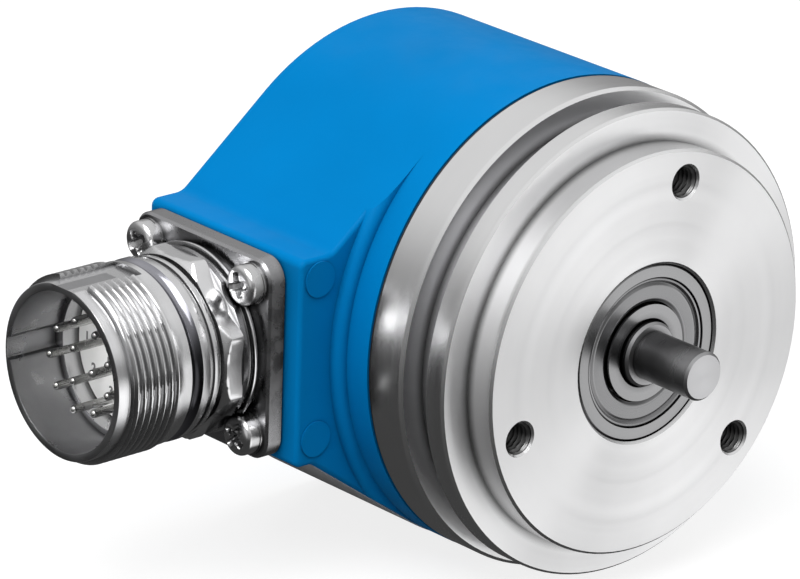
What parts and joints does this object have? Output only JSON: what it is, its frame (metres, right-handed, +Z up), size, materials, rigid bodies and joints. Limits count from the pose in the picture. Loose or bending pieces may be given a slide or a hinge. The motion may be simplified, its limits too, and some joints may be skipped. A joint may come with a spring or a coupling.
{
  "type": "absolute rotary encoder",
  "caption": "Absolute rotary encoder: servo flange with turning shaft on ball bearings, code disc and gear-train turns counter inside, cast housing with a radial round pin receptacle.",
  "frame": {"origin": "centre of the front face of the centring spigot, on the shaft axis", "axes": "-Y along the shaft towards its free end, -X along the receptacle towards its mouth, +Z up"},
  "size_m": [0.0893, 0.0587, 0.0598],
  "materials": {
    "machined_aluminium": "fine turned, bright",
    "blue_paint": "satin powder coat",
    "nickel_plate": "bright nickel plate",
    "stainless_steel": "ground",
    "bearing_steel": "polished",
    "shield_steel": "pressed sheet, satin",
    "spring_steel": "blued",
    "cage_plastic": "moulded",
    "black_rubber": "matt",
    "glass": "polished",
    "circuit_board": "solder mask",
    "chip_plastic": "moulded",
    "gear_plastic": "moulded",
    "magnet": "plated",
    "insert_plastic": "moulded",
    "contact_metal": "plated",
    "label_foil": "satin foil",
    "flex_film": "polyimide",
    "lamp_lens": "clear"
  },
  "bodies": {
    "base": {"flange": "machined_aluminium", "front_bearing_outer_ring": "bearing_steel", "front_bearing_shields": "shield_steel", "rear_bearing_outer_ring": "bearing_steel", "rear_bearing_shields": "shield_steel", "preload_spring": "spring_steel", "bore_retaining_ring": "spring_steel", "lamp_block": "chip_plastic", "lamp": "lamp_lens", "collimator_lens": "glass", "reticle": "glass", "photosensor": "chip_plastic", "main_board": "circuit_board", "main_board_chips": "chip_plastic", "board_stands": "stainless_steel", "gear_plate_spacers": "stainless_steel", "gear_plate": "machined_aluminium", "counter_axles": "stainless_steel", "sensor_board": "circuit_board", "hall_sensors": "chip_plastic", "sensor_board_stands": "stainless_steel", "sensor_board_screws": "stainless_steel", "board_link": "chip_plastic", "housing": "blue_paint", "housing_gasket": "black_rubber", "cover_screws": "stainless_steel", "type_label": "label_foil", "connector_gasket": "black_rubber", "connector_plate": "nickel_plate", "connector_shell": "nickel_plate", "contact_insert": "insert_plastic", "contact_pins": "contact_metal", "plate_screws": "stainless_steel", "plate_washers": "stainless_steel", "flex_circuit": "flex_film", "board_header": "chip_plastic"},
    "rotor": {"shaft": "stainless_steel", "front_bearing_inner_ring": "bearing_steel", "rear_bearing_inner_ring": "bearing_steel", "bearing_spacer": "stainless_steel", "shaft_retaining_ring": "spring_steel", "disc_hub": "machined_aluminium", "hub_set_screw": "spring_steel", "code_disc": "glass", "disc_clamp_ring": "stainless_steel", "shaft_pinion": "gear_plastic"},
    "front_ball_set": {"front_bearing_balls": "bearing_steel", "front_bearing_cage": "cage_plastic"},
    "rear_ball_set": {"rear_bearing_balls": "bearing_steel", "rear_bearing_cage": "cage_plastic"},
    "wheel_1": {"counter_wheel_1": "gear_plastic", "counter_magnet_1": "magnet"},
    "wheel_2": {"counter_wheel_2": "gear_plastic", "counter_magnet_2": "magnet"},
    "wheel_3": {"counter_wheel_3": "gear_plastic", "counter_magnet_3": "magnet"}
  },
  "joints": [
    {"name": "shaft_turn", "type": "hinge", "parent": "base", "child": "rotor", "pos_m": [0, 0, 0], "axis": [0, -1, 0], "continuous": true},
    {"name": "front_balls_orbit", "type": "hinge", "parent": "base", "child": "front_ball_set", "pos_m": [0, 0, 0], "axis": [0, -1, 0], "continuous": true},
    {"name": "rear_balls_orbit", "type": "hinge", "parent": "base", "child": "rear_ball_set", "pos_m": [0, 0, 0], "axis": [0, -1, 0], "continuous": true},
    {"name": "wheel_1_turn", "type": "hinge", "parent": "base", "child": "wheel_1", "pos_m": [0, 0, 0.012], "axis": [0, -1, 0], "continuous": true},
    {"name": "wheel_2_turn", "type": "hinge", "parent": "base", "child": "wheel_2", "pos_m": [0.01039, 0, 0.006], "axis": [0, -1, 0], "continuous": true},
    {"name": "wheel_3_turn", "type": "hinge", "parent": "base", "child": "wheel_3", "pos_m": [0.01039, 0, -0.006], "axis": [0, -1, 0], "continuous": true}
  ],
  "couplings": [
    {"joint": "front_balls_orbit", "follows": "shaft_turn", "ratio": 0.36673},
    {"joint": "rear_balls_orbit", "follows": "shaft_turn", "ratio": 0.36673},
    {"joint": "wheel_1_turn", "follows": "shaft_turn", "ratio": -0.5},
    {"joint": "wheel_2_turn", "follows": "shaft_turn", "ratio": 0.25},
    {"joint": "wheel_3_turn", "follows": "shaft_turn", "ratio": -0.125}
  ]
}
